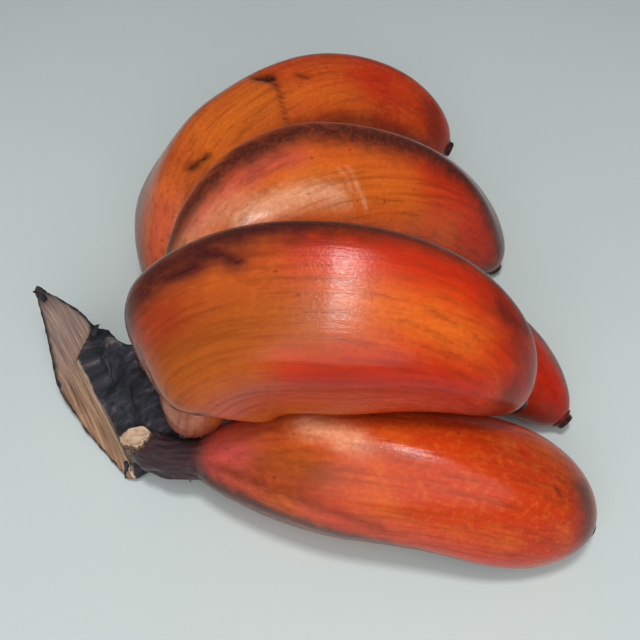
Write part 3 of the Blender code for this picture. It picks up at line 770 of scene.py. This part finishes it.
def crown_material():
    """Cut stem tissue of a banana, dried in the air.

    The cut shows tan fibres lengthways, the sides have gone brown-black and dull.
    """
    material, tree = blank_material("crown_tissue")
    grain = add_node(tree, "ShaderNodeAttribute", out="Vector", attribute_name="grain")
    cut, rim, edge = (
        add_node(tree, "ShaderNodeAttribute", out="Fac", attribute_name=name)
        for name in ("cut", "rim", "edge")
    )
    patterns = []
    for per_mm in (FACE_FIBRES_PER_MM, BARK_PER_MM):
        place = add_node(tree, "ShaderNodeMapping", {"Vector": grain, "Scale": per_mm})
        inputs = {"Vector": place, "Scale": 1.0, "Detail": 5.0, "Roughness": 0.65}
        patterns.append(add_node(tree, "ShaderNodeTexNoise", inputs))
    fibres, bark = patterns
    up_face = add_node(tree, "ShaderNodeSeparateXYZ", (grain,))
    dark, light = WEATHERED
    weathered = covered(tree, hex_color(dark), ((fibres, hex_color(light)),))
    face = covered(tree, add_node(tree, "ShaderNodeValToRGB", (fibres,), FACE_RAMP), (
        ((up_face, 30.0, 48.0, 0.7), weathered),
        ((up_face, 56.0, 66.0, 0.9), hex_color(CHARRED_TIP)),
        (edge, hex_color(DARK_EDGE)),
    ))
    side = add_node(tree, "ShaderNodeValToRGB", (bark,), SIDE_RAMP)
    surface(tree, {
        "Base Color": covered(tree, side, ((cut, face), (rim, hex_color(PALE_RIM)))),
        "Roughness": 0.8,
        "Normal": relief(tree, 0.8, (fibres, 0.5), (bark, 0.5)),
    })
    return material


def table_material(color):
    """Matt painted board, rolled, so its colour is nearly even."""
    material, tree = blank_material("table_paint")
    place = add_node(tree, "ShaderNodeTexCoord", out="Object")
    drift = add_node(tree, "ShaderNodeTexNoise", {"Vector": place, "Scale": 6.0, "Detail": 2.0})
    shade = add_node(tree, "ShaderNodeMapRange", (drift, 0.3, 0.7, 0.98, 1.02))
    surface(tree, {
        "Base Color": shaded(tree, (*color, 1.0), shade),
        "Roughness": 0.75,
        "Specular IOR Level": 0.2,
    })
    return material


# Shape of the crown


def crown_placement():
    """Where crown space lies in the hand's own frame: X along the cut face, Z out of it."""
    near = CROWN_NEAR_END
    along = (CROWN_FAR_END - near).normalized()
    level = Vector((0.0, 0.0, 1.0)).cross(along).normalized()
    if level.x > 0.0:
        level = -level
    steep = along.cross(level)
    if steep.z < 0.0:
        steep = -steep
    tilt = math.radians(CROWN_FACE_TILT)
    facing = math.cos(tilt) * level + math.sin(tilt) * steep
    down = facing.cross(along)
    rows = Matrix((along, down, facing)).transposed().to_4x4()
    return Matrix.Translation(near) @ rows


def crown_cage():
    """The loft in crown space: X along the cut face, Y down across it, Z out of the face."""
    bm = bmesh.new()
    loops = []
    for along, low, high, sw, sd, tw, td, lw, ld in CROWN_ROWS:
        middle = (low + high) / 2.0
        points = (
            (low, 0.0), (middle, 0.0), (high, 0.0), (sw, -sd), (tw, -td),
            ((tw + lw) / 2.0, -(td + ld) / 2.0 - SHOULDER_BULGE), (lw, -ld),
            ((lw + low) / 2.0 - UNDER_BULGE, -ld / 2.0),
        )
        verts = [bm.verts.new((along, -w, d)) for w, d in points]
        edges = [bm.edges.new((verts[j - 1], verts[j])) for j in range(len(verts))]
        loops.append((verts, edges))
    for (_, low_edges), (_, high_edges) in zip(loops, loops[1:]):
        bmesh.ops.bridge_loops(bm, edges=low_edges + high_edges)
    bmesh.ops.edgeloop_fill(bm, edges=loops[0][1])
    bmesh.ops.edgeloop_fill(bm, edges=loops[-1][1])
    bmesh.ops.recalc_face_normals(bm, faces=bm.faces)
    crease = bm.edges.layers.float.new("crease_edge")
    for (low_verts, _), (high_verts, _) in zip(loops, loops[1:]):
        for j in (0, 2):
            bm.edges.get((low_verts[j], high_verts[j]))[crease] = RIM_CREASE
    return bm


def rounded(bm, levels):
    """The mesh after Catmull-Clark rounding."""
    holder = bpy.data.objects.new("rounding_cage", bpy.data.meshes.new("rounding_cage"))
    bpy.context.scene.collection.objects.link(holder)
    bm.to_mesh(holder.data)
    bm.free()
    smoothing = holder.modifiers.new("rounding", "SUBSURF")
    smoothing.levels = smoothing.render_levels = levels
    graph = bpy.context.evaluated_depsgraph_get()
    fine = bmesh.new()
    fine.from_mesh(holder.evaluated_get(graph).to_mesh())
    bpy.data.objects.remove(holder, do_unlink=True)
    return fine


def cut_edges(along):
    """Low and high edge of the cut face at this distance along it."""
    for low_row, high_row in zip(CROWN_ROWS, CROWN_ROWS[1:]):
        if along <= high_row[0]:
            t = clamp01((along - low_row[0]) / (high_row[0] - low_row[0]))
            return tuple(low_row[k] + t * (high_row[k] - low_row[k]) for k in (1, 2))
    return CROWN_ROWS[-1][1], CROWN_ROWS[-1][2]


def add_crown_layers(bm):
    """The attributes that the crown's finish reads, by name."""
    layers = {"grain": bm.verts.layers.float_vector.new("grain")}
    for name in ("cut", "rim", "edge"):
        layers[name] = bm.verts.layers.float.new(name)
    return layers


def add_tube(bm, rings, segments):
    """A closed tube through rings of centre, direction and radius; returns rings of vertices."""
    loops = []
    last_edges = None
    for centre, direction, radius in rings:
        turn = direction.to_track_quat("Z", "Y").to_matrix().to_4x4()
        matrix = Matrix.Translation(centre) @ turn
        ring = bmesh.ops.create_circle(bm, segments=segments, radius=radius, matrix=matrix)
        verts = ring["verts"]
        edges = edges_of(verts)
        if last_edges is None:
            bmesh.ops.edgeloop_fill(bm, edges=edges)
        else:
            bmesh.ops.bridge_loops(bm, edges=last_edges + edges)
        last_edges = edges
        loops.append(verts)
    bmesh.ops.edgeloop_fill(bm, edges=last_edges)
    return loops


def make_stub_mesh():
    """Short stump with a sunken, pale, uneven cut end and wrinkled brown sides."""
    bm = bmesh.new()
    layers = add_crown_layers(bm)
    axis = STUB_TOP - STUB_BASE
    along = axis.normalized()
    rings = []
    for share, width in STUB_PROFILE:
        rings.append((STUB_BASE + axis * share, along, STUB_RADIUS * width))
    loops = add_tube(bm, rings, STUB_SEGMENTS)
    for vert in bm.verts:
        vert.co.y = STUB_TOP.y + (vert.co.y - STUB_TOP.y) * STUB_FLATNESS
    for i, loop in enumerate(loops):
        on_cut = i >= STUB_CUT_RING
        for vert in loop:
            vert[layers["grain"]] = vert.co - STUB_BASE
            rough = noise.noise(vert.co / STUB_ROUGH_SIZE)
            away = vert.co - (STUB_BASE + along * (vert.co - STUB_BASE).dot(along))
            flat = Vector((away.x, away.y, 0.0))
            if on_cut:
                vert.co += along * (STUB_ROUGH_HEIGHT * rough)
            else:
                place = flat * STUB_WRINKLES_PER_MM + Vector((4.0, 9.0, 0.2 * i))
                vert.co += away * (STUB_WRINKLE_SHARE * noise.noise(place))
            corner = noise.noise(flat * STUB_CORNERS_PER_MM + Vector((2.0, 5.0, 0.0)))
            vert.co += away * (STUB_CORNER_SHARE * corner)
            vert[layers["cut"]] = 1.0 if on_cut else STUB_SIDE_CUT
            vert[layers["rim"]] = clamp01(STUB_RIM + rough) if on_cut else 0.0
    return place_in_metres(bm)


def make_fibres_mesh():
    """Torn fibres, each a thin bent strand that runs out to a point."""
    bm = bmesh.new()
    layers = add_crown_layers(bm)
    noise.seed_set(FIBRE_SEED)
    for start, middle, end, radius in FIBRES:
        start, middle, end = Vector(start), Vector(middle), Vector(end)
        rings = []
        for i in range(FIBRE_STEPS + 1):
            t = i / FIBRE_STEPS
            point = (1 - t) ** 2 * start + 2 * t * (1 - t) * middle + t * t * end
            slope = (1 - t) * (middle - start) + t * (end - middle)
            shake = noise.noise_vector(point * FIBRE_SHAKES_PER_MM) * (FIBRE_SHAKE * radius)
            thick = max(radius * (1.0 - t) ** FIBRE_TAPER, FIBRE_POINT)
            rings.append((point + shake, slope.normalized(), thick))
        add_tube(bm, rings, FIBRE_SIDES)
    for vert in bm.verts:
        vert[layers["grain"]] = vert.co.copy()
    return place_in_metres(bm)


def place_in_metres(bm):
    """Moves a mesh from the hand's own frame in millimetres to its place in metres."""
    bmesh.ops.translate(bm, verts=bm.verts, vec=PLAN_SHIFT)
    bmesh.ops.scale(bm, verts=bm.verts, vec=(MM, MM, MM))
    bmesh.ops.recalc_face_normals(bm, faces=bm.faces)
    return bm


def face_high_edge(along, high):
    """High edge of what still shows as cut face; below the flap the tissue has shrunk back."""
    if along < NOTCH_START or along > FLAP_END:
        return high
    narrow = NOTCH_EDGE + smooth_step((along - FLAP_START) / FLAP_RISE) * (high - NOTCH_EDGE)
    return min(high, narrow)


def relief_noise(place, sizes, shift=(0.0, 0.0, 0.0)):
    """Smooth noise with lumps of these sizes in millimetres."""
    return noise.noise(Vector([at / size + by for at, size, by in zip(place, sizes, shift)]))


def make_crown_mesh():
    """The crown with its sunken fibrous cut face and wrinkled sides, in the row frame."""
    bm = rounded(crown_cage(), CROWN_ROUNDING)
    bm.normal_update()
    layers = add_crown_layers(bm)
    moved = []
    for vert in bm.verts:
        place = along, down, depth = tuple(vert.co)
        low, solid_high = cut_edges(along)
        high = face_high_edge(along, solid_high)
        inside = high + down
        across = (-down - (low + high) / 2.0) / max((high - low) / 2.0, LEAST_HALF_WIDTH)

        # How deep the notch is here
        beyond = smooth_step((-down - high) / NOTCH_BROW)
        beyond *= smooth_step((along - NOTCH_START) / NOTCH_FADE_IN)
        beyond *= smooth_step((FLAP_END - along) / NOTCH_FADE_OUT)
        notch = NOTCH_DEPTH * beyond * smooth_step((depth + NOTCH_REACH) / NOTCH_REACH)

        # 1 on the cut face, 0 on the sides
        facing = smooth_step((vert.normal.z - FACE_NORMAL[0]) / FACE_NORMAL[1])
        facing *= smooth_step((depth + FACE_LEVEL[0]) / FACE_LEVEL[1])
        facing *= smooth_step((1.0 - abs(across)) / FACE_EDGE)
        if NOTCH_START < along < FLAP_END:
            facing *= smooth_step(inside - NOTCH_MARGIN)

        fibre = relief_noise((along, down, 0.0), (FIBRE_LENGTH, FIBRE_WIDTH, 1.0), (0.0, 0.0, 3.0))
        torn = relief_noise(place, TORN_SIZES, (0.0, 0.0, 9.0))
        sides = SIDE_INSET + LUMP_HEIGHT * relief_noise(place, LUMP_SIZES)
        sides += WRINKLE_HEIGHT * relief_noise(place, WRINKLE_SIZES)
        hollow = facing * FACE_HOLLOW * max(1.0 - across * across, 0.0)
        hollow *= min((high - low) / HOLLOW_WIDTH, 1.0)
        lip = smooth_step((abs(across) - LIP_START) / LIP_WIDTH) * facing
        inward = facing * (hollow + FIBRE_RELIEF * (FIBRE_INSET + fibre))
        inward += (1.0 - facing) * sides
        inward -= lip * LIP_HEIGHT * (0.5 + torn)
        moved.append(vert.co - vert.normal * inward - Vector((0.0, 0.0, notch)))

        vert[layers["grain"]] = vert.co.copy()
        vert[layers["cut"]] = facing
        lower_rim = 1.0 if across > 0.0 and along < FLAP_START else 0.0
        pale = smooth_step(RIM_FULL - abs(inside - RIM_INSET) / RIM_HALF) * facing
        vert[layers["rim"]] = clamp01(pale * (0.9 + torn) * lower_rim)
        outer = smooth_step((abs(across) - DARK_EDGE_START) / DARK_EDGE_WIDTH) * (1.0 - lower_rim)
        vert[layers["edge"]] = clamp01(outer * (1.1 + 1.2 * torn))
    for vert, place in zip(bm.verts, moved):
        vert.co = place
    matrix = Matrix.Translation(PLAN_SHIFT) @ crown_placement()
    bmesh.ops.transform(bm, matrix=matrix, verts=bm.verts)
    lowest = min(vert.co.z for vert in bm.verts)
    for vert in bm.verts:
        vert.co.z = max(vert.co.z - lowest - REST_DEPTH, 0.0)
    bmesh.ops.scale(bm, verts=bm.verts, vec=(MM, MM, MM))
    bmesh.ops.recalc_face_normals(bm, faces=bm.faces)
    return bm


# Controls


class FruitSettings(PropertyGroup):
    """How finely the fruit is modelled."""

    rings: IntProperty(
        name="Rings", description="Rings along the body of a finger", default=150, min=40, max=220
    )
    stalk_rings: IntProperty(
        name="Stalk rings", description="Rings along a finger's stalk", default=16, min=4, max=40
    )
    sides: IntProperty(
        name="Sides", description="Points round a finger", default=100, min=40, max=160
    )


class StageSettings(PropertyGroup):
    """The table, the light and the view."""

    table_color: FloatVectorProperty(
        name="Table colour", description="Colour of the table", subtype="COLOR", size=3,
        default=hex_color("C9D2D0")[:3], min=0.0, max=1.0,
    )
    key_power: FloatProperty(
        name="Key light", description="Power of the soft light overhead", default=2.5, unit="POWER"
    )
    fill_power: FloatProperty(
        name="Fill light", description="Power of the wide light in front", default=9.0, unit="POWER"
    )
    fill_elevation: FloatProperty(
        name="Fill elevation", description="Height of the fill light", default=math.radians(42.0),
        subtype="ANGLE",
    )
    key_elevation: FloatProperty(
        name="Key elevation", description="Height of the key light", default=math.radians(74.0),
        subtype="ANGLE",
    )
    surround: FloatProperty(
        name="Surround", description="Strength of the pale surroundings", default=0.20, min=0.0
    )
    view_elevation: FloatProperty(
        name="View elevation", description="How far the view looks down",
        default=math.radians(48.783), subtype="ANGLE",
    )
    view_distance: FloatProperty(
        name="View distance", description="From the camera to the middle of the hand",
        default=0.311224, unit="LENGTH",
    )
    lens: FloatProperty(
        name="Lens", description="Focal length on a 36 mm sensor", default=54.62, unit="CAMERA"
    )


class BANANA_OT_fingers(Operator):
    """Model the five fingers, each with its own peel"""

    bl_idname = "banana.fingers"
    bl_label = "Fingers"

    def execute(self, context):
        for name, finger in FINGERS.items():
            bm = make_finger_mesh(name, finger, context.scene.banana_fruit)
            finish_piece(name + "_fruit", bm, peel_material(name, finger), finger["slot"], name)
        return {"FINISHED"}


class BANANA_OT_crown(Operator):
    """Model the cut crown that the fingers grow from"""

    bl_idname = "banana.crown"
    bl_label = "Crown"

    def execute(self, context):
        tissue = crown_material()
        finish_piece("crown_stem", make_crown_mesh(), tissue, "crown_tissue", "crown")
        finish_piece("cut_stub", make_stub_mesh(), tissue, "crown_tissue")
        finish_piece("crown_fibres", make_fibres_mesh(), tissue, "crown_tissue")
        return {"FINISHED"}


class BANANA_OT_stage(Operator):
    """Set the table, the soft light and the camera"""

    bl_idname = "banana.stage"
    bl_label = "Stage"

    def execute(self, context):
        stage = context.scene.banana_stage
        self.lay_table(stage)
        self.hang_light("key_light", KEY_LIGHT, stage.key_power, stage.key_elevation)
        self.hang_light("fill_light", FILL_LIGHT, stage.fill_power, stage.fill_elevation)
        self.place_camera(context.scene, stage)
        return {"FINISHED"}

    def lay_table(self, stage):
        bm = bmesh.new()
        bmesh.ops.create_grid(bm, x_segments=1, y_segments=1, size=TABLE_HALF)
        mesh = bpy.data.meshes.new("table")
        bm.to_mesh(mesh)
        bm.free()
        mesh.materials.append(table_material(stage.table_color))
        table = bpy.data.objects.new("table", mesh)
        bpy.context.scene.collection.objects.link(table)

    def hang_light(self, name, shape, power, elevation):
        size, distance = shape
        light = bpy.data.lights.new(name, "AREA")
        light.shape = "DISK"
        light.size = size
        light.energy = power
        lamp = bpy.data.objects.new(name, light)
        back = Vector((0.0, -math.cos(elevation), math.sin(elevation)))
        lamp.location = VIEW_CENTRE + back * distance
        lamp.rotation_euler = back.to_track_quat("Z", "Y").to_euler()
        bpy.context.scene.collection.objects.link(lamp)

    def place_camera(self, scene, stage):
        camera = bpy.data.cameras.new("camera")
        camera.lens = stage.lens
        camera.sensor_width = SENSOR_WIDTH
        camera.clip_start = NEAREST_SEEN
        holder = bpy.data.objects.new("camera", camera)
        back = Vector((0.0, -math.cos(stage.view_elevation), math.sin(stage.view_elevation)))
        holder.location = VIEW_CENTRE + back * stage.view_distance
        holder.rotation_euler = back.to_track_quat("Z", "Y").to_euler()
        scene.collection.objects.link(holder)
        scene.camera = holder
        world = bpy.data.worlds.new("surround")
        world.use_nodes = True
        glow = world.node_tree.nodes["Background"]
        glow.inputs[0].default_value = hex_color("DDE6E8")
        glow.inputs[1].default_value = stage.surround
        scene.world = world
        scene.view_settings.view_transform = "Standard"


class BANANA_PT_panel(Panel):
    """Steps and sizes of the hand of bananas"""

    bl_label = "Hand of bananas"
    bl_space_type = "VIEW_3D"
    bl_region_type = "UI"
    bl_category = "Bananas"

    def draw(self, context):
        layout = self.layout
        for name in FruitSettings.__annotations__:
            layout.prop(context.scene.banana_fruit, name)
        for name in StageSettings.__annotations__:
            layout.prop(context.scene.banana_stage, name)
        for step in STEPS:
            layout.operator(step)


STEPS = ("banana.fingers", "banana.crown", "banana.stage")
CLASSES = (
    FruitSettings,
    StageSettings,
    BANANA_OT_fingers,
    BANANA_OT_crown,
    BANANA_OT_stage,
    BANANA_PT_panel,
)


def register():
    for item in CLASSES:
        bpy.utils.register_class(item)
    bpy.types.Scene.banana_fruit = PointerProperty(type=FruitSettings)
    bpy.types.Scene.banana_stage = PointerProperty(type=StageSettings)


def unregister():
    del bpy.types.Scene.banana_stage
    del bpy.types.Scene.banana_fruit
    for item in reversed(CLASSES):
        bpy.utils.unregister_class(item)


def main():
    register()
    for step in STEPS:
        group, action = step.split(".")
        getattr(getattr(bpy.ops, group), action)()


if __name__ == "__main__":
    main()
